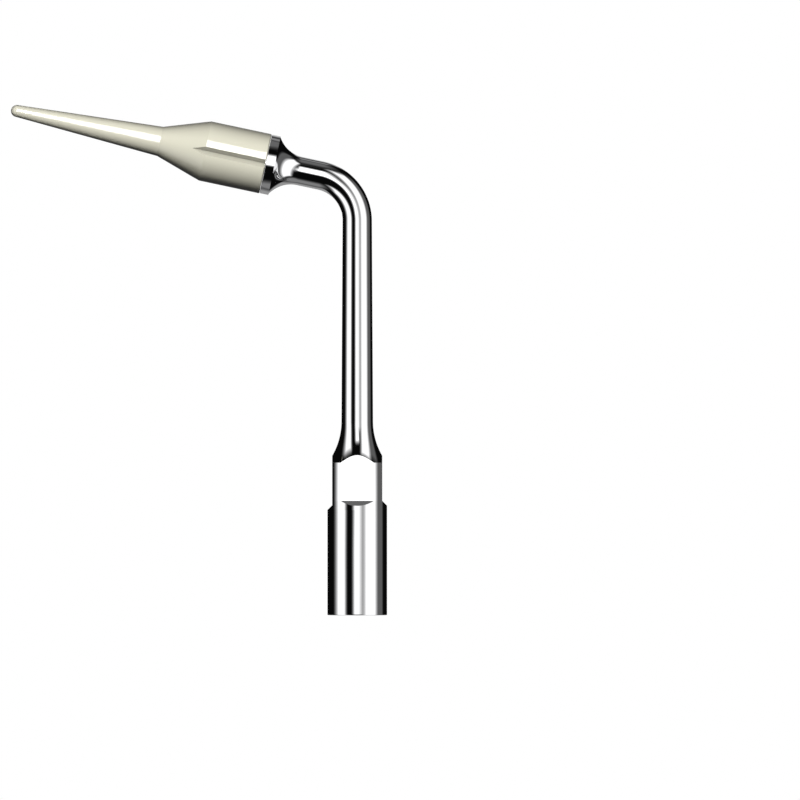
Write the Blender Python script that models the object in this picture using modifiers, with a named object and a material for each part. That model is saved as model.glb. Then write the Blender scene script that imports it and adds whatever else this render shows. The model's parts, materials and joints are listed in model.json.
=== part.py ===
"""Ultrasonic scaler insert with a screw-on implant-cleaning cap.

Three pieces: a one-piece steel insert holder that is turned straight and then bent, a plastic cap
with finger grooves and a long nose that screws onto the holder's stud, and a small seal ring between
them. +Z up. The origin is the centre of the base's seating face, the shank rises along +Z, and the
cap points towards -X in the XZ plane. The sizes below are millimetres, because the exact Boolean
needs coordinates near 1: the finished solids are scaled to metres at the very end.
"""

import math

import bmesh
import bpy
from mathutils import Matrix, Vector

MILLIMETRE = 0.001

# Holder: a turned bar, measured along its centreline from the seating face.
BASE_RADIUS = 2.4
BASE_HEIGHT = 12.2
FLAT_DISTANCE = 2.0          # from the axis to each wrench flat: a 4 mm key
FLAT_LEDGE_HEIGHT = 9.15     # where a flat meets its 45 degree ledge
CAP_SIDE_LEDGE_DROP = 0.35   # the flat under the cap is a little longer
NECK_ARC_RADIUS = 5.44       # concave arc from the base's edge to the shank
SHANK_FOOT_RADIUS = 1.27
SHANK_TOP_RADIUS = 1.18
BEND_START = 31.55
BEND_RADIUS = 3.7
BEND_ANGLE = math.radians(78.0)   # leaves the arm 12 degrees above level
ARM_RADIUS = 1.155
CORNER_TO_COLLAR = 7.48      # from the corner of the two axes to the collar's face
COLLAR_RADIUS = 2.41
COLLAR_RIM = 0.72
COLLAR_ARC_RADIUS = 2.3      # concave flare from the arm to the rim

# Threads: an M3 x 0.5 socket in the base, and an M2 x 0.4 stud under the cap.
SOCKET_MAJOR_RADIUS = 1.5
SOCKET_PITCH = 0.5
SOCKET_THREAD_LENGTH = 5.0
SOCKET_DRILL_DEPTH = 5.6
SOCKET_MOUTH_RADIUS = 1.65
SOCKET_MOUTH_DEPTH = 0.3
STUD_MAJOR_RADIUS = 1.0
STUD_PITCH = 0.4
STUD_LENGTH = 5.0
PILOT_RADIUS = 1.03
PILOT_LENGTH = 0.6
STUD_LEAD = 0.25             # chamfer at the stud's tip
THREAD_CLEARANCE = 0.04      # radial, between the stud and the cap
SOCKET_RELIEF = 0.05         # radial, of the plain bore beyond each internal thread
CAP_RELIEF = 0.04
DRILL_POINT = 0.5            # depth of a drilled hole's point, of its radius

# Thread form, as shares of the pitch: root flat, flank, crest flat, flank.
THREAD_DEPTH = 0.5766
ROOT_END = 0.25
CREST_START = 0.5625
CREST_END = 0.6875

# Water way through the holder.
CHANNEL_RADIUS = 0.4
CHANNEL_TOP = 32.3
OUTLET_RADIUS = 0.25
OUTLET_HEIGHT = 32.0
OUTLET_RISE = math.radians(9.0)

# Cap, measured from its rear face towards the nose.
CAP_RADIUS = 2.44
CAP_CHAMFER = 0.06
CAP_BODY_LENGTH = 4.94
CAP_CONE_LENGTH = 3.7
CAP_NECK_RADIUS = 1.2
CAP_LENGTH = 20.83
NOSE_END_RADIUS = 0.485
GROOVE_DEPTH = 0.35
GROOVE_COUNT = 4
CAP_FACE_GAP = 0.02          # between the collar's face and the cap
CAP_THREAD_END = 5.0
CAP_HOLE_DEPTH = 5.7
SEAL_POCKET_RADIUS = 1.58
SEAL_POCKET_DEPTH = 0.7

# Seal ring.
SEAL_RING_RADIUS = 1.305
SEAL_CORD_RADIUS = 0.24

# Roundness of the meshes.
HOLDER_STEPS = 40
CAP_STEPS = 40
THREAD_STEPS = 18
BORE_STEPS = 20
OUTLET_STEPS = 19            # odd, so that no edge of the outlet meets one of the channel
RING_STEPS = 24
ARC_POINTS = 7
DOME_POINTS = 6
CORD_POINTS = 10
BEND_POINTS = 13
MERGE = 0.0001
FLATS_REACH = 3.0            # how far the cutting blocks stand out of the work
FLATS_LENGTH = 12.0
FLATS_HALF_WIDTH = 1.6
CUT_SPARE = 0.5
SMOOTH_ANGLE = math.radians(28.0)

BEND_END = BEND_START + BEND_RADIUS * BEND_ANGLE
COLLAR_FACE = BEND_END + CORNER_TO_COLLAR - BEND_RADIUS * math.tan(BEND_ANGLE / 2)


# ---------------------------------------------------------------- scene and helpers

def clear_scene():
    for old in list(bpy.data.objects):
        bpy.data.objects.remove(old, do_unlink=True)


def new_collection(name):
    collection = bpy.data.collections.new(name)
    bpy.context.scene.collection.children.link(collection)
    return collection


def make_material(name, colour, roughness, metallic):
    material = bpy.data.materials.new(name)
    material.use_nodes = True
    shader = material.node_tree.nodes["Principled BSDF"]
    shader.inputs["Base Color"].default_value = (*colour, 1.0)
    shader.inputs["Roughness"].default_value = roughness
    shader.inputs["Metallic"].default_value = metallic
    return material


def mesh_object(name, mesh, collection):
    obj = bpy.data.objects.new(name, mesh)
    collection.objects.link(obj)
    return obj


def turned(name, profile, steps, collection, loop=False):
    """A solid of revolution about Z: profile is (radius, height) from the top down.

    The profile starts and ends on the axis, or it is a loop clear of the axis.
    """
    mesh = bpy.data.meshes.new(name)
    points = [(radius, 0.0, height) for radius, height in profile]
    count = len(points)
    edges = [(i, (i + 1) % count) for i in range(count if loop else count - 1)]
    mesh.from_pydata(points, edges, [])
    obj = mesh_object(name, mesh, collection)
    screw = obj.modifiers.new("turn", "SCREW")
    screw.axis = "Z"
    screw.steps = steps
    screw.render_steps = steps
    screw.use_merge_vertices = True
    screw.merge_threshold = MERGE
    return obj


def baked(obj):
    """Replace an object's mesh by its evaluated one and drop its modifiers."""
    bpy.context.view_layer.update()
    evaluated = obj.evaluated_get(bpy.context.evaluated_depsgraph_get())
    mesh = bpy.data.meshes.new_from_object(evaluated)
    obj.modifiers.clear()
    obj.data = mesh
    return obj


def triangulated(mesh):
    """Split every face into triangles, so that no face is bent when the mesh is cut again."""
    work = bmesh.new()
    work.from_mesh(mesh)
    bmesh.ops.triangulate(work, faces=work.faces[:])
    work.to_mesh(mesh)
    work.free()


def combined(obj, other, operation):
    """Boolean obj with other, apply it, and keep other only as a hidden guide."""
    triangulated(obj.data)
    triangulated(other.data)
    step = obj.modifiers.new(operation.lower(), "BOOLEAN")
    step.operation = operation
    step.solver = "EXACT"
    step.object = other
    baked(obj)
    other.hide_render = True
    other.display_type = "WIRE"
    return obj


def arc(centre, radius, start, end, count):
    """Points (radius, height) on a circular arc, both ends included."""
    points = []
    for i in range(count):
        angle = start + (end - start) * i / (count - 1)
        points.append((centre[0] + radius * math.cos(angle), centre[1] + radius * math.sin(angle)))
    return points


def bent(point):
    """Where a point of the straight bar goes once the shank is bent towards -X."""
    along = point.z - BEND_START
    if along <= 0.0:
        return point.copy()
    angle = min(along / BEND_RADIUS, BEND_ANGLE)
    beyond = max(along - BEND_RADIUS * BEND_ANGLE, 0.0)
    turn = Matrix.Rotation(-angle, 4, "Y")
    pivot = Vector((-BEND_RADIUS, 0.0, BEND_START))
    return pivot + turn @ Vector((point.x + BEND_RADIUS, point.y, beyond))


def bend_mesh(mesh):
    for vertex in mesh.vertices:
        vertex.co = bent(vertex.co)


def cap_frame():
    """The frame on the bent arm whose Z runs along the cap and whose origin is the collar's face."""
    place = Matrix.Rotation(-BEND_ANGLE, 4, "Y")
    place.translation = bent(Vector((0.0, 0.0, COLLAR_FACE)))
    return place


def blocks(name, ends, collection):
    """Straight solid blocks, each given by the corners of its near end and of its far end."""
    work = bmesh.new()
    for near_corners, far_corners in ends:
        near = [work.verts.new(corner) for corner in near_corners]
        far = [work.verts.new(corner) for corner in far_corners]
        work.faces.new(near)
        work.faces.new(list(reversed(far)))
        for i in range(len(near)):
            j = (i + 1) % len(near)
            work.faces.new((near[j], near[i], far[i], far[j]))
    bmesh.ops.recalc_face_normals(work, faces=work.faces[:])
    mesh = bpy.data.meshes.new(name)
    work.to_mesh(mesh)
    work.free()
    return mesh_object(name, mesh, collection)


def thread_rod(name, major, pitch, start, end, collection):
    """A right-hand threaded rod about Z, full from start to end and closed at both helical ends.

    Each turn has a root flat of a quarter pitch, a crest flat of an eighth, and two flanks. The
    helix is counted from Z = 0, so two rods of one pitch are always in mesh.
    """
    minor = major - THREAD_DEPTH * pitch
    section = [(minor, ROOT_END), (major, CREST_START), (major, CREST_END), (minor, 1.0)]
    end_turns = 1.0 + ROOT_END
    first_turn = math.floor(start / pitch - end_turns)
    last_turn = math.ceil(end / pitch)
    count = (last_turn - first_turn) * THREAD_STEPS
    rows = bmesh.new()
    grid = []
    for i in range(count + 1):
        angle = 2 * math.pi * i / THREAD_STEPS
        rise = pitch * (first_turn + i / THREAD_STEPS)
        row = []
        for radius, part in section:
            place = (radius * math.cos(angle), radius * math.sin(angle), rise + part * pitch)
            row.append(rows.verts.new(place))
        grid.append(row)
    for i in range(count):
        for k in range(len(section) - 1):
            rows.faces.new((grid[i][k], grid[i + 1][k], grid[i + 1][k + 1], grid[i][k + 1]))
    for i in range(count - THREAD_STEPS):
        below = grid[i][3], grid[i + 1][3]
        above = grid[i + 1 + THREAD_STEPS][0], grid[i + THREAD_STEPS][0]
        rows.faces.new((*below, *above))
    foot = rows.verts.new((0.0, 0.0, pitch * first_turn))
    head = rows.verts.new((0.0, 0.0, pitch * (last_turn + end_turns)))
    for i in range(THREAD_STEPS):
        rows.faces.new((foot, grid[i + 1][0], grid[i][0]))
        top = count - THREAD_STEPS + i
        rows.faces.new((head, grid[top][3], grid[top + 1][3]))
    rows.faces.new((foot, *grid[0], grid[THREAD_STEPS][0]))
    rows.faces.new((head, *reversed(grid[count]), grid[count - THREAD_STEPS][3]))
    bmesh.ops.recalc_face_normals(rows, faces=rows.faces[:])
    mesh = bpy.data.meshes.new(name)
    rows.to_mesh(mesh)
    rows.free()
    return mesh_object(name, mesh, collection)


def finished(obj, place, material):
    """Put a piece at its place with its origin there, shade it and give it its material."""
    obj.matrix_world = place
    obj.data.shade_smooth()
    obj.data.set_sharp_from_angle(angle=SMOOTH_ANGLE)
    obj.data.materials.clear()
    obj.data.materials.append(material)


# ---------------------------------------------------------------- insert holder

def holder_profile():
    """Outline of the straight bar from the stud's pilot down to the seating face."""
    rim_foot = COLLAR_FACE - COLLAR_RIM
    flare_angle = math.acos(1.0 - (COLLAR_RADIUS - ARM_RADIUS) / COLLAR_ARC_RADIUS)
    flare_foot = rim_foot - COLLAR_ARC_RADIUS * math.sin(flare_angle)
    flare_centre = (ARM_RADIUS + COLLAR_ARC_RADIUS, flare_foot)
    neck_angle = math.acos(1.0 - (BASE_RADIUS - SHANK_FOOT_RADIUS) / NECK_ARC_RADIUS)
    neck_top = BASE_HEIGHT + NECK_ARC_RADIUS * math.sin(neck_angle)
    neck_centre = (SHANK_FOOT_RADIUS + NECK_ARC_RADIUS, neck_top)
    profile = [
        (0.0, COLLAR_FACE + PILOT_LENGTH),
        (PILOT_RADIUS, COLLAR_FACE + PILOT_LENGTH),
        (PILOT_RADIUS, COLLAR_FACE),
        (COLLAR_RADIUS, COLLAR_FACE),
    ]
    profile += arc(flare_centre, COLLAR_ARC_RADIUS, math.pi - flare_angle, math.pi, ARC_POINTS)
    for i in range(BEND_POINTS + 1):
        part = i / BEND_POINTS
        radius = ARM_RADIUS + (SHANK_TOP_RADIUS - ARM_RADIUS) * part
        profile.append((radius, BEND_END + (BEND_START - BEND_END) * part))
    profile += arc(neck_centre, NECK_ARC_RADIUS, math.pi, math.pi + neck_angle, ARC_POINTS)
    profile += [(BASE_RADIUS, 0.0), (0.0, 0.0)]
    return profile


def flats_cutter(guides):
    """Four blocks that leave the wrench flats, each with a 45 degree ledge below."""
    far = FLAT_DISTANCE + FLATS_REACH
    ends = []
    for side in range(4):
        ledge = FLAT_LEDGE_HEIGHT - (CAP_SIDE_LEDGE_DROP if side == 2 else 0.0)
        top = ledge + FLATS_LENGTH
        outline = [(FLAT_DISTANCE, ledge), (far, ledge - FLATS_REACH), (far, top), (FLAT_DISTANCE, top)]
        turn = Matrix.Rotation(side * math.pi / 2, 3, "Z")
        ends.append([
            [turn @ Vector((x, across, z)) for x, z in outline]
            for across in (-FLATS_HALF_WIDTH, FLATS_HALF_WIDTH)
        ])
    return blocks("flats_cutter", ends, guides)


def socket_cutter(guides):
    """The threaded socket with its countersunk mouth, its relief and the water channel above it."""
    relief = SOCKET_MAJOR_RADIUS + SOCKET_RELIEF
    thread = thread_rod("socket_thread", SOCKET_MAJOR_RADIUS, SOCKET_PITCH, 0.0,
                        SOCKET_THREAD_LENGTH, guides)
    mouth = turned("socket_mouth", [
        (0.0, SOCKET_MOUTH_DEPTH),
        (SOCKET_MOUTH_RADIUS - SOCKET_MOUTH_DEPTH, SOCKET_MOUTH_DEPTH),
        (SOCKET_MOUTH_RADIUS + CUT_SPARE, -CUT_SPARE),
        (0.0, -CUT_SPARE),
    ], HOLDER_STEPS, guides)
    bore = turned("socket_bore", [
        (0.0, CHANNEL_TOP + CHANNEL_RADIUS * DRILL_POINT),
        (CHANNEL_RADIUS, CHANNEL_TOP),
        (CHANNEL_RADIUS, SOCKET_DRILL_DEPTH + relief * DRILL_POINT),
        (relief, SOCKET_DRILL_DEPTH),
        (relief, SOCKET_THREAD_LENGTH),
        (0.0, SOCKET_THREAD_LENGTH),
    ], BORE_STEPS, guides)
    combined(thread, baked(mouth), "UNION")
    return combined(thread, baked(bore), "UNION")


def outlet_cutter(guides):
    """The spray hole from the channel to the inside of the bend."""
    outlet = turned("outlet_cutter", [
        (0.0, SHANK_TOP_RADIUS * 2),
        (OUTLET_RADIUS, SHANK_TOP_RADIUS * 2),
        (OUTLET_RADIUS, 0.0),
        (0.0, 0.0),
    ], OUTLET_STEPS, guides)
    baked(outlet)
    aim = Matrix.Rotation(OUTLET_RISE - math.pi / 2, 4, "Y")
    aim.translation = Vector((0.0, 0.0, OUTLET_HEIGHT))
    outlet.matrix_world = aim
    return outlet


def stud_thread(guides):
    """The threaded end of the stud, with a chamfered tip. Its foot is sunk in the plain pilot."""
    thread = thread_rod("stud_thread", STUD_MAJOR_RADIUS, STUD_PITCH, PILOT_LENGTH, STUD_LENGTH,
                        guides)
    limit = turned("stud_limit", [
        (0.0, STUD_LENGTH),
        (STUD_MAJOR_RADIUS - STUD_LEAD, STUD_LENGTH),
        (STUD_MAJOR_RADIUS + STUD_LEAD, STUD_LENGTH - 2 * STUD_LEAD),
        (STUD_MAJOR_RADIUS + STUD_LEAD, -STUD_LENGTH),
        (0.0, -STUD_LENGTH),
    ], BORE_STEPS, guides)
    return combined(thread, baked(limit), "INTERSECT")


def make_holder(parts, guides, material):
    holder = turned("insert_holder", holder_profile(), HOLDER_STEPS, parts)
    combined(baked(holder), flats_cutter(guides), "DIFFERENCE")
    bend_mesh(holder.data)
    combined(holder, socket_cutter(guides), "DIFFERENCE")
    combined(holder, outlet_cutter(guides), "DIFFERENCE")
    stud = stud_thread(guides)
    stud.matrix_world = cap_frame()
    combined(holder, stud, "UNION")
    finished(holder, Matrix.Identity(4), material)


# ---------------------------------------------------------------- cap and seal ring

def cap_profile():
    """Outline of the cap from the tip of its nose down to its rear face."""
    cone_top = CAP_BODY_LENGTH + CAP_CONE_LENGTH
    dome_centre = (0.0, CAP_LENGTH - NOSE_END_RADIUS)
    profile = [(0.0, CAP_LENGTH)]
    dome_start = math.pi / 2 * (1.0 - 1.0 / DOME_POINTS)
    profile += arc(dome_centre, NOSE_END_RADIUS, dome_start, 0.0, DOME_POINTS)
    profile += [
        (CAP_NECK_RADIUS, cone_top),
        (CAP_RADIUS, CAP_BODY_LENGTH),
        (CAP_RADIUS, CAP_FACE_GAP + CAP_CHAMFER),
        (CAP_RADIUS - CAP_CHAMFER, CAP_FACE_GAP),
        (0.0, CAP_FACE_GAP),
    ]
    return profile


def groove_cutter(guides):
    """Four long right-angled wedges that cut the finger grooves and run out in the cone."""
    floor = CAP_RADIUS - GROOVE_DEPTH
    half_width = GROOVE_DEPTH + CUT_SPARE
    far = floor + half_width
    outline = [(floor, 0.0), (far, -half_width), (far, half_width)]
    ends = []
    for side in range(GROOVE_COUNT):
        turn = Matrix.Rotation(side * 2 * math.pi / GROOVE_COUNT, 3, "Z")
        ends.append([
            [turn @ Vector((x, y, height)) for x, y in outline]
            for height in (-CUT_SPARE, CAP_BODY_LENGTH + CAP_CONE_LENGTH)
        ])
    return blocks("groove_cutter", ends, guides)


def cap_hole_cutter(guides):
    """The cap's blind thread, with the seal ring's pocket at its mouth and a relief at its end."""
    major = STUD_MAJOR_RADIUS + THREAD_CLEARANCE
    relief = major + CAP_RELIEF
    thread = thread_rod("cap_thread", major, STUD_PITCH, SEAL_POCKET_DEPTH, CAP_THREAD_END, guides)
    pocket = turned("seal_pocket", [
        (0.0, SEAL_POCKET_DEPTH),
        (SEAL_POCKET_RADIUS, SEAL_POCKET_DEPTH),
        (SEAL_POCKET_RADIUS, -CUT_SPARE),
        (0.0, -CUT_SPARE),
    ], CAP_STEPS, guides)
    drill = turned("cap_drill", [
        (0.0, CAP_HOLE_DEPTH + relief * DRILL_POINT),
        (relief, CAP_HOLE_DEPTH),
        (relief, CAP_THREAD_END),
        (0.0, CAP_THREAD_END),
    ], BORE_STEPS, guides)
    combined(thread, baked(pocket), "UNION")
    return combined(thread, baked(drill), "UNION")


def make_cap(parts, guides, material):
    cap = turned("implant_cap", cap_profile(), CAP_STEPS, parts)
    baked(cap)
    combined(cap, groove_cutter(guides), "DIFFERENCE")
    combined(cap, cap_hole_cutter(guides), "DIFFERENCE")
    finished(cap, cap_frame(), material)


def make_seal_ring(parts, material):
    start = math.pi / 2
    circle = arc((SEAL_RING_RADIUS, 0.0), SEAL_CORD_RADIUS, start, start - 2 * math.pi, CORD_POINTS + 1)
    ring = turned("thread_seal_ring", circle[:-1], RING_STEPS, parts, loop=True)
    baked(ring)
    lift = Matrix.Translation((0.0, 0.0, SEAL_POCKET_DEPTH / 2))
    finished(ring, cap_frame() @ lift, material)


def scale_to_metres(objects):
    for obj in objects:
        obj.data.transform(Matrix.Scale(MILLIMETRE, 4))
        obj.location *= MILLIMETRE


def main():
    clear_scene()
    parts = new_collection("ultrasonic_scaler_insert")
    guides = new_collection("cutters")
    steel = make_material("polished_steel", (0.72, 0.72, 0.74), 0.1, 1.0)
    plastic = make_material("cream_peek", (0.78, 0.76, 0.64), 0.3, 0.0)
    rubber = make_material("dark_seal_rubber", (0.04, 0.04, 0.045), 0.6, 0.0)
    make_holder(parts, guides, steel)
    make_seal_ring(parts, rubber)
    make_cap(parts, guides, plastic)
    scale_to_metres([*parts.objects, *guides.objects])


main()
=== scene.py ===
"""Looks of the ultrasonic scaler insert: steel holder and cream plastic cap, in a white studio.

The holder, the cap and the seal ring are made again here as fine meshes of the same shape and size as
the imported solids. Meshes are made in millimetres, and each finished mesh is scaled to metres. The
studio, its lights and the camera are in metres.
"""

import json
import math
from collections import namedtuple

import bmesh
import bpy
from mathutils import Matrix, Vector


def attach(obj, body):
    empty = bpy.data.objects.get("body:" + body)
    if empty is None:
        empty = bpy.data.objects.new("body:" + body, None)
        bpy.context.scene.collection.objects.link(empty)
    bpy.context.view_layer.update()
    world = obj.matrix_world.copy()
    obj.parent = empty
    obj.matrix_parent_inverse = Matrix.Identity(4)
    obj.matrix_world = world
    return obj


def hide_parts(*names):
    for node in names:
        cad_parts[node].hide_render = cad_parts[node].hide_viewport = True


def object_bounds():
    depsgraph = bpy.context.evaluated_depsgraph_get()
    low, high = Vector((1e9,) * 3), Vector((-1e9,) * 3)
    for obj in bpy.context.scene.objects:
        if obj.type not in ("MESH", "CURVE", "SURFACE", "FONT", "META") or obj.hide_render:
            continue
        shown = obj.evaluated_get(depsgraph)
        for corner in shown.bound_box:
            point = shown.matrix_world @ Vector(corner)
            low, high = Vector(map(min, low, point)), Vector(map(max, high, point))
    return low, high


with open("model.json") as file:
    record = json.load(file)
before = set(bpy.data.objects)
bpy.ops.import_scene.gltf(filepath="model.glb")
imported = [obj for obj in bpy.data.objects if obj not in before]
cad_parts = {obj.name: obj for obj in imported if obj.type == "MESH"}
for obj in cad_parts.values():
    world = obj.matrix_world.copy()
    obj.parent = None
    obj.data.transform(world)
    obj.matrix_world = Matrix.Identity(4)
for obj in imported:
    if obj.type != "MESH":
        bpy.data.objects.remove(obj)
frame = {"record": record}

CAD_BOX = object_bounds()
MILLIMETRE = 0.001

# Holder: a turned bar, measured along its centreline from the seating face.
BASE_RADIUS = 2.4
BASE_HEIGHT = 12.2
FLAT_DISTANCE = 2.0
FLAT_LEDGE_HEIGHT = 9.15
CAP_SIDE_LEDGE_DROP = 0.35
NECK_ARC_RADIUS = 5.44
SHANK_FOOT_RADIUS = 1.27
SHANK_TOP_RADIUS = 1.18
BEND_START = 31.55
BEND_RADIUS = 3.7
BEND_ANGLE = math.radians(78.0)
ARM_RADIUS = 1.155
CORNER_TO_COLLAR = 7.48
COLLAR_RADIUS = 2.41
COLLAR_RIM = 0.72
COLLAR_ARC_RADIUS = 2.3
EDGE_RADIUS = 0.04
WALL_HEIGHTS = (0.1, 5.0)         # extra sections of the base's plain wall

# Threads and water way.
SOCKET_MAJOR_RADIUS = 1.5
SOCKET_PITCH = 0.5
SOCKET_THREAD_LENGTH = 5.0
SOCKET_DRILL_DEPTH = 5.6
SOCKET_MOUTH_RADIUS = 1.65
SOCKET_MOUTH_DEPTH = 0.3
SOCKET_RELIEF = 0.05
STUD_MAJOR_RADIUS = 1.0
STUD_PITCH = 0.4
STUD_LENGTH = 5.0
STUD_LEAD = 0.25
STUD_FOOT = 0.2                   # where the threaded piece starts, inside the pilot
PILOT_RADIUS = 1.03
PILOT_LENGTH = 0.6
THREAD_CLEARANCE = 0.04
THREAD_DEPTH = 0.5766             # of a pitch
ROOT_END = 0.25                   # of a pitch, as are the next two
CREST_START = 0.5625
CREST_END = 0.6875
DRILL_POINT = 0.5                 # height of a drill's point, as a share of its radius
CHANNEL_RADIUS = 0.4
CHANNEL_TOP = 32.3
OUTLET_RADIUS = 0.25
OUTLET_HEIGHT = 32.0
OUTLET_RISE = math.radians(9.0)

# Cap, measured from the collar's face towards the nose.
CAP_RADIUS = 2.44
CAP_CHAMFER = 0.06
CAP_BODY_LENGTH = 4.94
CAP_CONE_LENGTH = 3.7
CAP_NECK_RADIUS = 1.2
CAP_LENGTH = 20.83
NOSE_END_RADIUS = 0.485
GROOVE_DEPTH = 0.35
CAP_FACE_GAP = 0.02
CAP_THREAD_END = 5.0
CAP_HOLE_DEPTH = 5.7
CAP_RELIEF = 0.04
SEAL_POCKET_RADIUS = 1.58
SEAL_POCKET_DEPTH = 0.7
SEAL_RING_RADIUS = 1.305
SEAL_CORD_RADIUS = 0.24
SEAL_FLASH = 0.006                # height of the parting line

# Fineness of the meshes: round sections.
ARC_STEPS = 40                    # round stretch in each quarter
FLAT_STEPS = 8                    # flat or groove in each quarter
THREAD_STEPS = 64
ROUND_STEPS = 96
OUTLET_STEPS = 47
SEAL_RING_STEPS = 160
SEAL_CORD_STEPS = 48

# Fineness of the meshes: outlines, from the seating face to the nose.
EDGE_STEPS = 10
LEDGE_STEPS = 12
FLATS_END_STEPS = 14
NECK_STEPS = 20
SHANK_STEPS = 16
BEND_STEPS = 60
FLARE_STEPS = 40
CAP_BODY_STEPS = 12
GROOVE_END_STEPS = 14
CONE_STEPS = 10
NOSE_STEPS = 24
DOME_STEPS = 24

MERGE = 0.00001
SHARP_ANGLE = math.radians(12.0)
MOUTH_SPARE = 0.5                 # how far the cutters at the two mouths reach out of their pieces
POCKET_SPARE = 0.2
POLE_GAP = 0.02                   # opening at a dome's or drill point's pole, of its radius

BEND_END = BEND_START + BEND_RADIUS * BEND_ANGLE
COLLAR_FACE = BEND_END + CORNER_TO_COLLAR - BEND_RADIUS * math.tan(BEND_ANGLE / 2)


# ---------------------------------------------------------------- mesh helpers

def mesh_object(name, mesh):
    obj = bpy.data.objects.new(name, mesh)
    bpy.context.scene.collection.objects.link(obj)
    return obj


def steps(start, end, count):
    return [start + (end - start) * i / count for i in range(count + 1)]


def arc(centre, radius, start, end, count):
    """Points (radius, height) on a circular arc, both ends included."""
    points = []
    for angle in steps(start, end, count):
        points.append((centre[0] + radius * math.cos(angle), centre[1] + radius * math.sin(angle)))
    return points


def lofted(name, rings):
    """A closed body through rings of equally many points, given from its foot to its head."""
    work = bmesh.new()
    grid = [[work.verts.new(point) for point in ring] for ring in rings]
    count = len(rings[0])
    for low, high in zip(grid, grid[1:]):
        for i in range(count):
            j = (i + 1) % count
            work.faces.new((low[i], low[j], high[j], high[i]))
    work.faces.new(list(reversed(grid[0])))
    work.faces.new(grid[-1])
    bmesh.ops.remove_doubles(work, verts=work.verts, dist=MERGE)
    bmesh.ops.dissolve_degenerate(work, edges=work.edges, dist=MERGE)
    mesh = bpy.data.meshes.new(name)
    work.to_mesh(mesh)
    work.free()
    return mesh_object(name, mesh)


def turned(name, profile, count=ROUND_STEPS):
    """A body of revolution about Z from (radius, height) points given from the foot to the head."""
    rings = []
    for radius, height in profile:
        ring = []
        for angle in steps(0.0, 2 * math.pi, count)[:-1]:
            ring.append(Vector((radius * math.cos(angle), radius * math.sin(angle), height)))
        rings.append(ring)
    return lofted(name, rings)


def combine(obj, other, operation):
    """Boolean obj with other, apply it and remove other."""
    step = obj.modifiers.new(operation.lower(), "BOOLEAN")
    step.operation = operation
    step.solver = "EXACT"
    step.object = other
    bpy.context.view_layer.update()
    evaluated = obj.evaluated_get(bpy.context.evaluated_depsgraph_get())
    mesh = bpy.data.meshes.new_from_object(evaluated)
    obj.modifiers.clear()
    obj.data = mesh
    bpy.data.objects.remove(other, do_unlink=True)


def thread_rod(name, major, pitch, start, end):
    """A right-hand threaded rod about Z, full from start to end and closed at both helical ends."""
    minor = major - THREAD_DEPTH * pitch
    section = [(minor, ROOT_END), (major, CREST_START), (major, CREST_END), (minor, 1.0)]
    end_turns = 1.0 + ROOT_END
    first_turn = math.floor(start / pitch - end_turns)
    last_turn = math.ceil(end / pitch)
    count = (last_turn - first_turn) * THREAD_STEPS
    work = bmesh.new()
    grid = []
    for i in range(count + 1):
        angle = 2 * math.pi * i / THREAD_STEPS
        rise = pitch * (first_turn + i / THREAD_STEPS)
        row = []
        for radius, part in section:
            place = (radius * math.cos(angle), radius * math.sin(angle), rise + part * pitch)
            row.append(work.verts.new(place))
        grid.append(row)
    for i in range(count):
        for k in range(len(section) - 1):
            work.faces.new((grid[i][k], grid[i + 1][k], grid[i + 1][k + 1], grid[i][k + 1]))
    for i in range(count - THREAD_STEPS):
        below = grid[i][3], grid[i + 1][3]
        above = grid[i + 1 + THREAD_STEPS][0], grid[i + THREAD_STEPS][0]
        work.faces.new((*below, *above))
    foot = work.verts.new((0.0, 0.0, pitch * first_turn))
    head = work.verts.new((0.0, 0.0, pitch * (last_turn + end_turns)))
    for i in range(THREAD_STEPS):
        work.faces.new((foot, grid[i + 1][0], grid[i][0]))
        top = count - THREAD_STEPS + i
        work.faces.new((head, grid[top][3], grid[top + 1][3]))
    work.faces.new((foot, *grid[0], grid[THREAD_STEPS][0]))
    work.faces.new((head, *reversed(grid[count]), grid[count - THREAD_STEPS][3]))
    bmesh.ops.triangulate(work, faces=work.faces[:])
    bmesh.ops.recalc_face_normals(work, faces=work.faces[:])
    mesh = bpy.data.meshes.new(name)
    work.to_mesh(mesh)
    work.free()
    return mesh_object(name, mesh)


def finished(obj, place, material, body, slot, *nodes):
    """Scale a piece to metres, shade it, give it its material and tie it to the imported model."""
    mesh = obj.data
    mesh.transform(Matrix.Scale(MILLIMETRE, 4) @ place)
    mesh.shade_smooth()
    mesh.set_sharp_from_angle(angle=SHARP_ANGLE)
    mesh.materials.clear()
    mesh.materials.append(material)
    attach(obj, body)
    if nodes:
        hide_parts(*nodes)
    return obj


# ---------------------------------------------------------------- places

def bent(point):
    """Where a point of the straight bar goes once the shank is bent towards -X."""
    along = point.z - BEND_START
    if along <= 0.0:
        return point.copy()
    angle = min(along / BEND_RADIUS, BEND_ANGLE)
    beyond = max(along - BEND_RADIUS * BEND_ANGLE, 0.0)
    turn = Matrix.Rotation(-angle, 4, "Y")
    pivot = Vector((-BEND_RADIUS, 0.0, BEND_START))
    return pivot + turn @ Vector((point.x + BEND_RADIUS, point.y, beyond))


def cap_frame():
    """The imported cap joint's own frame: origin on the collar's face, Z along the cap."""
    joint = next(j for j in frame["record"]["behaviour"]["joints"] if j["name"] == "cap_turn")
    place = Matrix.Rotation(-BEND_ANGLE, 4, "Y")
    place.translation = Vector(joint["pos_m"]) / MILLIMETRE
    return place


# ---------------------------------------------------------------- holder

def flat_distances(height):
    """Distance from the axis to the flat or ledge on each of the four sides."""
    distances = []
    for side in range(4):
        ledge = FLAT_LEDGE_HEIGHT - (CAP_SIDE_LEDGE_DROP if side == 2 else 0.0)
        above = COLLAR_RADIUS if height > BEND_START else 0.0
        distances.append(FLAT_DISTANCE + max(ledge - height, 0.0) + above)
    return distances


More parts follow.
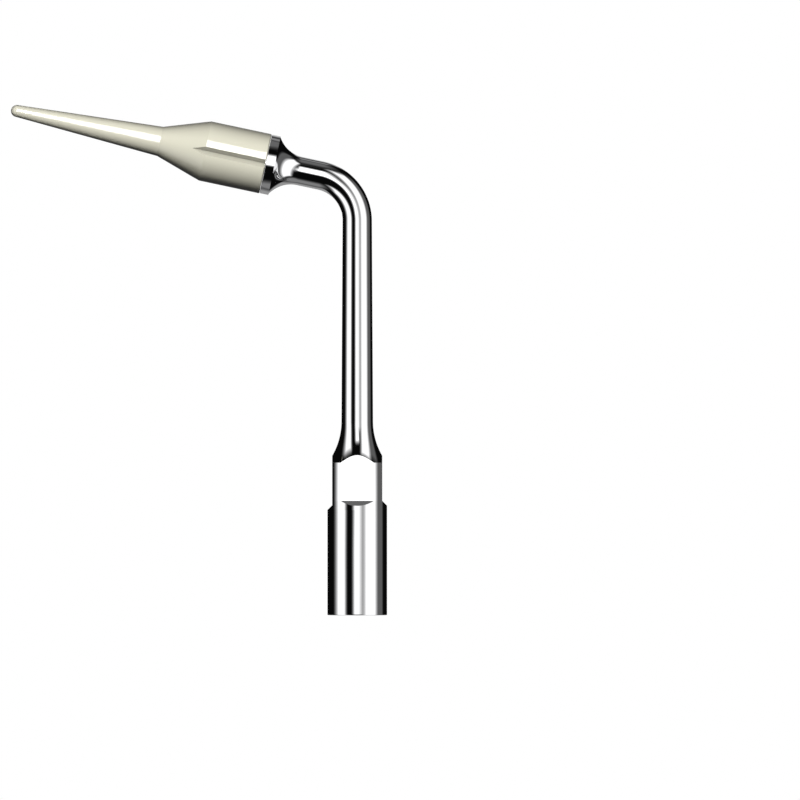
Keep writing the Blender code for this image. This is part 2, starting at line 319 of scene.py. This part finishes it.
def holder_ring(radius, height):
    """Section of the holder: a circle with a chord on each side that a flat or ledge reaches."""
    distances = flat_distances(height)
    corners = [math.acos(min(distance / radius, 1.0)) for distance in distances]
    ring = []
    for side in range(4):
        middle = side * math.pi / 2
        half = corners[side]
        for part in steps(-1.0, 1.0, FLAT_STEPS)[:-1]:
            reach = radius * math.cos(half)
            across = part * radius * math.sin(half)
            turn = Matrix.Rotation(middle, 3, "Z")
            ring.append(turn @ Vector((reach, across, height)))
        after = corners[(side + 1) % 4]
        for angle in steps(middle + half, middle + math.pi / 2 - after, ARC_STEPS)[:-1]:
            ring.append(Vector((radius * math.cos(angle), radius * math.sin(angle), height)))
    return [bent(point) for point in ring]


def base_heights():
    """Heights at which the base's sections are taken, close together along the ledges."""
    heights = []
    widest = math.acos(FLAT_DISTANCE / BASE_RADIUS)
    for drop in (0.0, CAP_SIDE_LEDGE_DROP):
        for half in steps(0.0, widest, LEDGE_STEPS):
            chord = BASE_RADIUS * math.cos(half)
            heights.append(FLAT_LEDGE_HEIGHT - drop - (chord - FLAT_DISTANCE))
    return sorted(set(heights))


def neck_radii():
    """Radii of the neck's sections from the base's edge to the shank, dense where flats run out."""
    widest = math.acos(FLAT_DISTANCE / BASE_RADIUS)
    radii = [FLAT_DISTANCE / math.cos(half) for half in steps(widest, 0.0, FLATS_END_STEPS)]
    start = math.acos(1.0 - (FLAT_DISTANCE - SHANK_FOOT_RADIUS) / NECK_ARC_RADIUS)
    for angle in steps(start, 0.0, NECK_STEPS)[1:]:
        radii.append(SHANK_FOOT_RADIUS + NECK_ARC_RADIUS * (1 - math.cos(angle)))
    return radii


def holder_profile():
    """Outline of the straight bar as (radius, height), from the seating face to the pilot's end."""
    edge = EDGE_RADIUS
    profile = arc((BASE_RADIUS - edge, edge), edge, -math.pi / 2, 0.0, EDGE_STEPS)
    profile += [(BASE_RADIUS, height) for height in WALL_HEIGHTS]
    profile += [(BASE_RADIUS, height) for height in base_heights()]
    neck_angle = math.acos(1.0 - (BASE_RADIUS - SHANK_FOOT_RADIUS) / NECK_ARC_RADIUS)
    neck_top = BASE_HEIGHT + NECK_ARC_RADIUS * math.sin(neck_angle)
    for radius in neck_radii():
        angle = math.acos(1.0 - (radius - SHANK_FOOT_RADIUS) / NECK_ARC_RADIUS)
        profile.append((radius, neck_top - NECK_ARC_RADIUS * math.sin(angle)))
    taper = (SHANK_TOP_RADIUS - SHANK_FOOT_RADIUS) / (BEND_START - neck_top)
    for height in steps(neck_top, BEND_START, SHANK_STEPS)[1:]:
        profile.append((SHANK_FOOT_RADIUS + taper * (height - neck_top), height))
    for part in steps(0.0, 1.0, BEND_STEPS)[1:]:
        radius = SHANK_TOP_RADIUS + (ARM_RADIUS - SHANK_TOP_RADIUS) * part
        profile.append((radius, BEND_START + (BEND_END - BEND_START) * part))
    rim_foot = COLLAR_FACE - COLLAR_RIM
    flare_angle = math.acos(1.0 - (COLLAR_RADIUS - ARM_RADIUS) / COLLAR_ARC_RADIUS)
    flare_foot = rim_foot - COLLAR_ARC_RADIUS * math.sin(flare_angle)
    flare_centre = (ARM_RADIUS + COLLAR_ARC_RADIUS, flare_foot)
    profile += arc(flare_centre, COLLAR_ARC_RADIUS, math.pi, math.pi - flare_angle, FLARE_STEPS)
    rim_centre = (COLLAR_RADIUS - edge, COLLAR_FACE - edge)
    profile += arc(rim_centre, edge, 0.0, math.pi / 2, EDGE_STEPS)
    profile += [(PILOT_RADIUS, COLLAR_FACE), (PILOT_RADIUS, COLLAR_FACE + PILOT_LENGTH)]
    return profile


def cut_socket(holder):
    """The threaded socket in the base, with the water channel above it."""
    relief = SOCKET_MAJOR_RADIUS + SOCKET_RELIEF
    thread = thread_rod("socket_thread", SOCKET_MAJOR_RADIUS, SOCKET_PITCH, 0.0,
                        SOCKET_THREAD_LENGTH)
    mouth = turned("socket_mouth", [
        (SOCKET_MOUTH_RADIUS + MOUTH_SPARE, -MOUTH_SPARE),
        (SOCKET_MOUTH_RADIUS - SOCKET_MOUTH_DEPTH, SOCKET_MOUTH_DEPTH),
    ])
    bore = turned("socket_bore", [
        (relief, SOCKET_THREAD_LENGTH),
        (relief, SOCKET_DRILL_DEPTH),
        (CHANNEL_RADIUS, SOCKET_DRILL_DEPTH + relief * DRILL_POINT),
        (CHANNEL_RADIUS, CHANNEL_TOP),
    ])
    combine(thread, mouth, "UNION")
    combine(thread, bore, "UNION")
    combine(holder, thread, "DIFFERENCE")


def cut_outlet(holder):
    """The spray hole on the inside of the bend."""
    length = SHANK_TOP_RADIUS * 2
    outlet = turned("outlet", [(OUTLET_RADIUS, 0.0), (OUTLET_RADIUS, length)], OUTLET_STEPS)
    outlet.data.transform(Matrix.Rotation(OUTLET_RISE - math.pi / 2, 4, "Y"))
    outlet.data.transform(Matrix.Translation((0.0, 0.0, OUTLET_HEIGHT)))
    combine(holder, outlet, "DIFFERENCE")


def make_holder(material):
    holder = lofted("holder_body", [holder_ring(*point) for point in holder_profile()])
    cut_socket(holder)
    cut_outlet(holder)
    finished(holder, Matrix.Identity(4), material, "holder", "polished_steel", "insert_holder")


def make_stud(material):
    """The stud that the cap screws onto, from inside the pilot to its bevelled end."""
    stud = thread_rod("stud_thread", STUD_MAJOR_RADIUS, STUD_PITCH, PILOT_LENGTH, STUD_LENGTH)
    limit = turned("stud_limit", [
        (STUD_MAJOR_RADIUS + STUD_LEAD, STUD_FOOT),
        (STUD_MAJOR_RADIUS + STUD_LEAD, STUD_LENGTH - 2 * STUD_LEAD),
        (STUD_MAJOR_RADIUS - STUD_LEAD, STUD_LENGTH),
    ])
    combine(stud, limit, "INTERSECT")
    finished(stud, cap_frame(), material, "holder", "polished_steel")


# ---------------------------------------------------------------- cap and seal ring

def cap_ring(radius, height):
    """Section of the cap: a circle with four right-angled grooves, where it is wide enough."""
    floor = CAP_RADIUS - GROOVE_DEPTH
    half = 0.0
    if radius > floor:
        half = math.acos(floor / (math.sqrt(2.0) * radius)) - math.pi / 4
    bottom = min(floor, radius)
    ring = []
    for side in range(4):
        middle = side * math.pi / 2
        turn = Matrix.Rotation(middle, 3, "Z")
        edge = Vector((radius * math.cos(half), radius * math.sin(half), height))
        deep = Vector((bottom, 0.0, height))
        near = Vector((edge.x, -edge.y, height))
        for part in steps(0.0, 1.0, FLAT_STEPS // 2)[:-1]:
            ring.append(turn @ near.lerp(deep, part))
        for part in steps(0.0, 1.0, FLAT_STEPS // 2)[:-1]:
            ring.append(turn @ deep.lerp(edge, part))
        for angle in steps(middle + half, middle + math.pi / 2 - half, ARC_STEPS)[:-1]:
            ring.append(Vector((radius * math.cos(angle), radius * math.sin(angle), height)))
    return ring


def cap_profile():
    """Outline of the cap as (radius, height), from its rear face to the tip of its nose."""
    floor = CAP_RADIUS - GROOVE_DEPTH
    cone_top = CAP_BODY_LENGTH + CAP_CONE_LENGTH
    slope = CAP_CONE_LENGTH / (CAP_RADIUS - CAP_NECK_RADIUS)
    profile = [(CAP_RADIUS - CAP_CHAMFER, CAP_FACE_GAP)]
    for height in steps(CAP_FACE_GAP + CAP_CHAMFER, CAP_BODY_LENGTH, CAP_BODY_STEPS):
        profile.append((CAP_RADIUS, height))
    widest = math.acos(floor / (math.sqrt(2.0) * CAP_RADIUS)) - math.pi / 4
    for half in steps(widest, 0.0, GROOVE_END_STEPS)[1:]:
        radius = floor / (math.sqrt(2.0) * math.cos(half + math.pi / 4))
        profile.append((radius, CAP_BODY_LENGTH + (CAP_RADIUS - radius) * slope))
    for radius in steps(floor, CAP_NECK_RADIUS, CONE_STEPS)[1:]:
        profile.append((radius, CAP_BODY_LENGTH + (CAP_RADIUS - radius) * slope))
    dome = (0.0, CAP_LENGTH - NOSE_END_RADIUS)
    for part in steps(0.0, 1.0, NOSE_STEPS)[1:-1]:
        radius = CAP_NECK_RADIUS + (NOSE_END_RADIUS - CAP_NECK_RADIUS) * part
        profile.append((radius, cone_top + (dome[1] - cone_top) * part))
    profile += arc(dome, NOSE_END_RADIUS, 0.0, math.pi / 2 - POLE_GAP, DOME_STEPS)
    return profile


def cut_cap_hole(cap):
    """The blind threaded hole, with the seal ring's pocket at its mouth."""
    major = STUD_MAJOR_RADIUS + THREAD_CLEARANCE
    relief = major + CAP_RELIEF
    thread = thread_rod("cap_thread", major, STUD_PITCH, SEAL_POCKET_DEPTH, CAP_THREAD_END)
    pocket = turned("seal_pocket", [
        (SEAL_POCKET_RADIUS, -POCKET_SPARE),
        (SEAL_POCKET_RADIUS, SEAL_POCKET_DEPTH),
    ])
    drill = turned("cap_drill", [
        (relief, CAP_THREAD_END),
        (relief, CAP_HOLE_DEPTH),
        (relief * POLE_GAP, CAP_HOLE_DEPTH + relief * DRILL_POINT),
    ])
    combine(thread, pocket, "UNION")
    combine(thread, drill, "UNION")
    combine(cap, thread, "DIFFERENCE")


def make_cap(material):
    cap = lofted("cap_body", [cap_ring(*point) for point in cap_profile()])
    cut_cap_hole(cap)
    return finished(cap, cap_frame(), material, "cap", "cream_peek", "implant_cap")


def make_seal(material):
    """An O-ring with the thin parting line that moulding leaves round it."""
    work = bmesh.new()
    grid = []
    for i in range(SEAL_RING_STEPS):
        turn = Matrix.Rotation(2 * math.pi * i / SEAL_RING_STEPS, 3, "Z")
        row = []
        for k in range(SEAL_CORD_STEPS):
            angle = 2 * math.pi * k / SEAL_CORD_STEPS
            parting = k in (0, SEAL_CORD_STEPS // 2)
            radius = SEAL_CORD_RADIUS + (SEAL_FLASH if parting else 0.0)
            out = SEAL_RING_RADIUS + radius * math.cos(angle)
            row.append(work.verts.new(turn @ Vector((out, 0.0, radius * math.sin(angle)))))
        grid.append(row)
    for i in range(SEAL_RING_STEPS):
        j = (i + 1) % SEAL_RING_STEPS
        for k in range(SEAL_CORD_STEPS):
            m = (k + 1) % SEAL_CORD_STEPS
            work.faces.new((grid[i][k], grid[j][k], grid[j][m], grid[i][m]))
    bmesh.ops.recalc_face_normals(work, faces=work.faces[:])
    mesh = bpy.data.meshes.new("seal_ring")
    work.to_mesh(mesh)
    work.free()
    ring = mesh_object("seal_ring", mesh)
    lift = Matrix.Translation((0.0, 0.0, SEAL_POCKET_DEPTH / 2))
    finished(ring, cap_frame() @ lift, material, "seal", "seal_rubber", "thread_seal_ring")


# ---------------------------------------------------------------- materials

# Patterns are in features per metre, and heights and reaches in metres.
NOISE_LOW = 0.3
NOISE_HIGH = 0.7
STEEL_LINES = (9000.0, 9000.0, 500.0)
STEEL_LINES_SHARE = 0.6
STEEL_CLOUD = 700.0
STEEL_DARK = (0.80, 0.80, 0.81)
STEEL_LIGHT = (0.86, 0.86, 0.865)
STEEL_ROUGHNESS = (0.03, 0.07)
PEEK_CLOUD = 350.0
PEEK_GRAIN = 9000.0
PEEK_DARK = (0.83, 0.805, 0.655)
PEEK_LIGHT = (0.86, 0.84, 0.695)
PEEK_ROUGHNESS = (0.035, 0.075)
PEEK_IOR = 1.6
# Painted shade in the plastic's grooves and hollows: how far the occlusion looks, and how strongly it
# darkens the colour.
PEEK_PAINTED_SHADE_REACH = 0.0008
PEEK_PAINTED_SHADE_POWER = 0.5
SKIN_IOR = 1.05
SKIN_TINT = (0.54, 0.54, 0.54, 1.0)
RUBBER_GRAIN = 14000.0
RUBBER_DARK = (0.018, 0.018, 0.02)
RUBBER_LIGHT = (0.04, 0.04, 0.043)
RUBBER_ROUGHNESS = (0.5, 0.7)
RUBBER_BUMP = 0.2
RUBBER_BUMP_HEIGHT = 0.00001


class Nodes:
    """A node tree with one short call for each kind of node that the looks need."""

    def __init__(self, owner):
        owner.use_nodes = True
        self.tree = owner.node_tree
        self.tree.nodes.clear()

    def new(self, kind, **settings):
        node = self.tree.nodes.new(kind)
        for name, value in settings.items():
            setattr(node, name, value)
        return node

    def link(self, source, target):
        self.tree.links.new(source, target)

    def feed(self, socket, value):
        if isinstance(value, (int, float, tuple)):
            socket.default_value = value
        else:
            self.link(value, socket)

    def math(self, operation, *values, clamp=False):
        node = self.new("ShaderNodeMath", operation=operation, use_clamp=clamp)
        for i, value in enumerate(values):
            self.feed(node.inputs[i], value)
        return node.outputs[0]

    def spread(self, noise, limits):
        """Noise, most of which lies between NOISE_LOW and NOISE_HIGH, spread between two limits."""
        node = self.new("ShaderNodeMapRange", interpolation_type="SMOOTHSTEP")
        node.inputs["From Min"].default_value = NOISE_LOW
        node.inputs["From Max"].default_value = NOISE_HIGH
        node.inputs["To Min"].default_value = limits[0]
        node.inputs["To Max"].default_value = limits[1]
        self.link(noise, node.inputs["Value"])
        return node.outputs["Result"]

    def noise(self, place, scale, detail, roughness=0.5):
        node = self.new("ShaderNodeTexNoise")
        node.inputs["Scale"].default_value = scale
        node.inputs["Detail"].default_value = detail
        node.inputs["Roughness"].default_value = roughness
        self.link(place, node.inputs["Vector"])
        return node.outputs["Fac"]

    def stretched(self, place, scale):
        node = self.new("ShaderNodeMapping")
        node.inputs["Scale"].default_value = scale
        self.link(place, node.inputs["Vector"])
        return node.outputs["Vector"]

    def bump(self, height, strength, distance):
        node = self.new("ShaderNodeBump")
        node.inputs["Strength"].default_value = strength
        node.inputs["Distance"].default_value = distance
        self.link(height, node.inputs["Height"])
        return node.outputs["Normal"]

    def mixed(self, amount, first, second):
        node = self.new("ShaderNodeMix", data_type="RGBA")
        self.link(amount, node.inputs["Factor"])
        low, high = [socket for socket in node.inputs if socket.type == "RGBA"]
        low.default_value = (*first, 1.0)
        high.default_value = (*second, 1.0)
        return next(socket for socket in node.outputs if socket.type == "RGBA")

    def darkened(self, colour, share):
        """A colour multiplied by a share of light."""
        node = self.new("ShaderNodeMix", data_type="RGBA", blend_type="MULTIPLY")
        node.inputs["Factor"].default_value = 1.0
        first, second = [socket for socket in node.inputs if socket.type == "RGBA"]
        self.link(colour, first)
        self.link(share, second)
        return next(socket for socket in node.outputs if socket.type == "RGBA")

    def background(self, strength):
        node = self.new("ShaderNodeBackground")
        node.inputs["Color"].default_value = (1.0, 1.0, 1.0, 1.0)
        self.feed(node.inputs["Strength"], strength)
        return node.outputs[0]

    def mixed_shaders(self, amount, first, second):
        node = self.new("ShaderNodeMixShader")
        for socket, value in zip(node.inputs, (amount, first, second)):
            self.link(value, socket)
        return node.outputs[0]

    def surface(self, **sockets):
        shader = self.new("ShaderNodeBsdfPrincipled")
        output = self.new("ShaderNodeOutputMaterial")
        self.link(shader.outputs["BSDF"], output.inputs["Surface"])
        for name, value in sockets.items():
            self.feed(shader.inputs[name.replace("_", " ")], value)
        return shader


def polished_steel():
    """Mirror-polished stainless steel with faint polishing lines along the piece."""
    material = bpy.data.materials.new("polished_steel")
    nodes = Nodes(material)
    place = nodes.new("ShaderNodeTexCoord").outputs["Object"]
    lines = nodes.noise(nodes.stretched(place, STEEL_LINES), scale=1.0, detail=3.0)
    cloud = nodes.noise(place, STEEL_CLOUD, detail=4.0)
    tint = nodes.mixed(cloud, STEEL_DARK, STEEL_LIGHT)
    both = nodes.math("ADD", nodes.math("MULTIPLY", lines, STEEL_LINES_SHARE),
                      nodes.math("MULTIPLY", cloud, 1.0 - STEEL_LINES_SHARE))
    nodes.surface(Base_Color=tint, Roughness=nodes.spread(both, STEEL_ROUGHNESS), Metallic=1.0)
    return material


def cream_peek():
    """Cream PEEK: a dense plastic under a thin tinted skin, which darkens it towards its outline,
    with painted shade in its grooves and hollows.
    """
    material = bpy.data.materials.new("cream_peek")
    nodes = Nodes(material)
    place = nodes.new("ShaderNodeTexCoord").outputs["Object"]
    cloud = nodes.noise(place, PEEK_CLOUD, detail=5.0, roughness=0.6)
    grain = nodes.noise(place, PEEK_GRAIN, detail=4.0)
    tint = nodes.mixed(cloud, PEEK_DARK, PEEK_LIGHT)
    # Painted shade: ambient occlusion darkens the base colour in the grooves and other hollows, where
    # shade falls.
    painted_hollow_shade = nodes.new("ShaderNodeAmbientOcclusion", samples=8)
    painted_hollow_shade.inputs["Distance"].default_value = PEEK_PAINTED_SHADE_REACH
    share = nodes.math("POWER", painted_hollow_shade.outputs["AO"], PEEK_PAINTED_SHADE_POWER)
    shader = nodes.surface(Base_Color=nodes.darkened(tint, share),
                           Roughness=nodes.spread(grain, PEEK_ROUGHNESS))
    shader.inputs["IOR"].default_value = PEEK_IOR
    shader.inputs["Coat Weight"].default_value = 1.0
    shader.inputs["Coat IOR"].default_value = SKIN_IOR
    shader.inputs["Coat Tint"].default_value = SKIN_TINT
    return material


def seal_rubber():
    """Dark moulded rubber with a fine matt grain."""
    material = bpy.data.materials.new("seal_rubber")
    nodes = Nodes(material)
    place = nodes.new("ShaderNodeTexCoord").outputs["Object"]
    grain = nodes.noise(place, RUBBER_GRAIN, detail=5.0)
    tint = nodes.mixed(grain, RUBBER_DARK, RUBBER_LIGHT)
    nodes.surface(Base_Color=tint, Roughness=nodes.spread(grain, RUBBER_ROUGHNESS),
                  Normal=nodes.bump(grain, RUBBER_BUMP, RUBBER_BUMP_HEIGHT))
    return material


# ---------------------------------------------------------------- studio

Panel = namedtuple("Panel", "azimuth azimuth_soft elevation elevation_soft lean strength")

# Panels of the studio that polished surfaces mirror, in degrees. Azimuth 0 is in front of the object
# and positive towards +X. A panel is even between its two limits and fades out over the two soft
# widths beside them. Lean moves it sideways as it gets higher above or lower below the horizon.
LEFT_BOX = Panel((-78, -51), (29, 15), (-45, 42), (16, 18), 0.17, 1.25)
FRONT_GLOW = Panel((-8, 3), (16, 16), (3, 31), (12, 12), 0.1, 1.8)
LEVEL_GLOW = Panel((-8, 3), (16, 42), (0, 8), (8, 24), 0.0, 1.6)
RIGHT_GLOW = Panel((38, 72), (45, 10), (-2, 6), (26, 30), 0.0, 1.2)
RIGHT_BOX = Panel((34, 72), (21, 26), (-50, 52), (12, 12), 0.0, 1.25)
RIGHT_WALL = Panel((84, 110), (10, 14), (-55, 42), (20, 20), 0.0, 0.12)
CEILING = Panel((-180, 180), (1, 1), (76, 91), (24, 1), 0.0, 0.15)
GROUND = Panel((-180, 180), (1, 1), (-91, -74), (1, 22), 0.0, 0.24)
BACK_ABOVE = Panel((180, 300), (8, 1), (12, 27), (10, 30), -0.5, 0.65)
BACK_HIGH = Panel((180, 300), (8, 1), (58, 64), (16, 14), -0.5, 0.28)
BACK_BELOW = Panel((168, 300), (8, 1), (-50, -10), (40, 10), -0.5, 0.35)
BACK_LEVEL = Panel((170, 181), (9, 1), (-9, 9), (8, 8), 0.0, 1.2)

# The back panels stand on both sides of the object, so they take the azimuth without its sign.
PANELS = (LEFT_BOX, FRONT_GLOW, LEVEL_GLOW, RIGHT_GLOW, RIGHT_BOX, RIGHT_WALL, CEILING, GROUND)
BACK_PANELS = (BACK_ABOVE, BACK_HIGH, BACK_BELOW, BACK_LEVEL)
FADE_POWER = 2.4
DARKEST = 0.003
AMBIENT = 0.015

# Lights, floor and camera.
MIDDLE = Vector((-0.012, 0.0, 0.03))
KEY_DISTANCE = 0.6
KEY_ASIDE = -0.02
KEY_RISE = math.radians(26.5)
KEY_SIZE = 0.15
KEY_POWER = 7.15
REAR_DISTANCE = 1.5
REAR_SIZE = 0.05
REAR_POWER = 34.0
SOFT_BOX_DISTANCE = 3.0
SOFT_BOX_RISE = math.radians(16.0)
SOFT_BOX_HALF_LENGTH = math.radians(9.0)
SOFT_BOX_HALF_WIDTH = math.radians(26.0)
SOFT_BOX_RADIANCE = 17.0
FLOOR_SIZE = 4.0
FLOOR_GAP = 0.00002
LENS = 1200.0
VIEW_WIDTH = 0.064
VIEW_CENTRE = Vector((0.00342, 0.0, 0.01721))
CLIP_END = 20.0


def outside(nodes, angle, limits, soft):
    """How far an angle lies outside its limits, as a share of the soft width there."""
    below = nodes.math("DIVIDE", nodes.math("SUBTRACT", limits[0], angle), soft[0])
    above = nodes.math("DIVIDE", nodes.math("SUBTRACT", angle, limits[1]), soft[1])
    return nodes.math("MAXIMUM", nodes.math("MAXIMUM", below, above), 0.0)


def panel_light(nodes, azimuth, elevation, panel):
    """Brightness of one panel in the direction with these angles."""
    aside = azimuth
    if panel.lean:
        height = nodes.math("ABSOLUTE", elevation)
        aside = nodes.math("SUBTRACT", azimuth, nodes.math("MULTIPLY", height, panel.lean))
    across = outside(nodes, aside, panel.azimuth, panel.azimuth_soft)
    up = outside(nodes, elevation, panel.elevation, panel.elevation_soft)
    squares = nodes.math("ADD", nodes.math("POWER", across, 2.0), nodes.math("POWER", up, 2.0))
    inside = nodes.math("SUBTRACT", 1.0, nodes.math("SQRT", squares), clamp=True)
    return nodes.math("MULTIPLY", nodes.math("POWER", inside, FADE_POWER), panel.strength)


def studio_world():
    """White backdrop for the camera, faint grey for diffuse light, and panels for reflections."""
    world = bpy.data.worlds.new("studio")
    bpy.context.scene.world = world
    nodes = Nodes(world)
    place = nodes.new("ShaderNodeTexCoord").outputs["Generated"]
    split = nodes.new("ShaderNodeSeparateXYZ")
    nodes.link(place, split.inputs[0])
    x, y, z = split.outputs
    azimuth = nodes.math("DEGREES", nodes.math("ARCTAN2", x, nodes.math("MULTIPLY", y, -1.0)))
    elevation = nodes.math("DEGREES", nodes.math("ARCSINE", z))
    either_side = nodes.math("ABSOLUTE", azimuth)
    total = DARKEST
    for panel in PANELS:
        total = nodes.math("MAXIMUM", total, panel_light(nodes, azimuth, elevation, panel))
    for panel in BACK_PANELS:
        total = nodes.math("MAXIMUM", total, panel_light(nodes, either_side, elevation, panel))
    reflected = nodes.background(total)
    ambient = nodes.background(AMBIENT)
    backdrop = nodes.background(1.0)
    path = nodes.new("ShaderNodeLightPath")
    unseen = nodes.mixed_shaders(path.outputs["Is Glossy Ray"], ambient, reflected)
    everything = nodes.mixed_shaders(path.outputs["Is Camera Ray"], unseen, backdrop)
    output = nodes.new("ShaderNodeOutputWorld")
    nodes.link(everything, output.inputs["Surface"])


def aim(obj, target):
    obj.rotation_euler = (Vector(target) - obj.location).to_track_quat("-Z", "Y").to_euler()


def area_light(name, place, target, size, power):
    lamp = bpy.data.lights.new(name, "AREA")
    lamp.shape = "DISK"
    lamp.size = size
    lamp.energy = power
    obj = bpy.data.objects.new(name, lamp)
    bpy.context.scene.collection.objects.link(obj)
    obj.location = place
    aim(obj, target)
    obj.visible_glossy = False


def floor():
    """A large white floor under the base, kept out of the reflections and of the bounced light."""
    bpy.ops.mesh.primitive_plane_add(size=FLOOR_SIZE)
    plane = bpy.context.object
    plane.name = "floor"
    plane.location.z = CAD_BOX[0][2] - FLOOR_GAP
    material = bpy.data.materials.new("white_floor")
    nodes = Nodes(material)
    shader = nodes.surface(Base_Color=(0.0, 0.0, 0.0, 1.0), Roughness=1.0)
    shader.inputs["Emission Color"].default_value = (1.0, 1.0, 1.0, 1.0)
    shader.inputs["Emission Strength"].default_value = 1.0
    shader.inputs["Specular IOR Level"].default_value = 0.0
    plane.data.materials.append(material)
    plane.visible_glossy = False
    plane.visible_diffuse = False
    plane.visible_transmission = False


def camera():
    """Level camera with a long lens, so that the view is almost parallel."""
    data = bpy.data.cameras.new("camera")
    data.lens = LENS
    data.clip_end = CLIP_END
    obj = bpy.data.objects.new("camera", data)
    bpy.context.scene.collection.objects.link(obj)
    distance = VIEW_WIDTH * LENS / data.sensor_width
    obj.location = VIEW_CENTRE + Vector((0.0, -distance, 0.0))
    aim(obj, VIEW_CENTRE)
    bpy.context.scene.camera = obj


def lights():
    """A soft key light in front of the object, and a level light that shows the plastic's back."""
    away = KEY_DISTANCE * math.cos(KEY_RISE)
    up = KEY_DISTANCE * math.sin(KEY_RISE)
    area_light("key", MIDDLE + Vector((KEY_ASIDE, -away, up)), MIDDLE, KEY_SIZE, KEY_POWER)
    behind = MIDDLE + Vector((0.0, REAR_DISTANCE, 0.0))
    area_light("rear", behind, MIDDLE, REAR_SIZE, REAR_POWER)


def soft_box(cap):
    """A long soft box in front that only the plastic mirrors, as one white strip."""
    along = (cap_frame().to_3x3() @ Vector((0.0, 0.0, 1.0))).normalized()
    centre = Matrix.Rotation(SOFT_BOX_RISE, 3, along) @ Vector((0.0, -1.0, 0.0))
    across = centre.cross(along)
    middle = cap_frame() @ Vector((0.0, 0.0, CAP_LENGTH / 2)) * MILLIMETRE
    lamp = bpy.data.lights.new("soft_box", "AREA")
    lamp.shape = "RECTANGLE"
    lamp.size = 2 * SOFT_BOX_DISTANCE * math.tan(SOFT_BOX_HALF_LENGTH)
    lamp.size_y = 2 * SOFT_BOX_DISTANCE * math.tan(SOFT_BOX_HALF_WIDTH)
    lamp.energy = math.pi * lamp.size * lamp.size_y * SOFT_BOX_RADIANCE
    obj = bpy.data.objects.new("soft_box", lamp)
    bpy.context.scene.collection.objects.link(obj)
    place = Matrix((along, across, centre)).transposed().to_4x4()
    place.translation = middle + centre * SOFT_BOX_DISTANCE
    obj.matrix_world = place
    obj.visible_camera = False
    obj.visible_diffuse = False
    receivers = bpy.data.collections.new("soft_box_receivers")
    receivers.objects.link(cap)
    obj.light_linking.receiver_collection = receivers


def main():
    steel = polished_steel()
    make_holder(steel)
    make_stud(steel)
    cap = make_cap(cream_peek())
    make_seal(seal_rubber())
    floor()
    lights()
    soft_box(cap)
    camera()
    studio_world()
    view = bpy.context.scene.view_settings
    view.view_transform = "Standard"
    view.look = "None"


main()
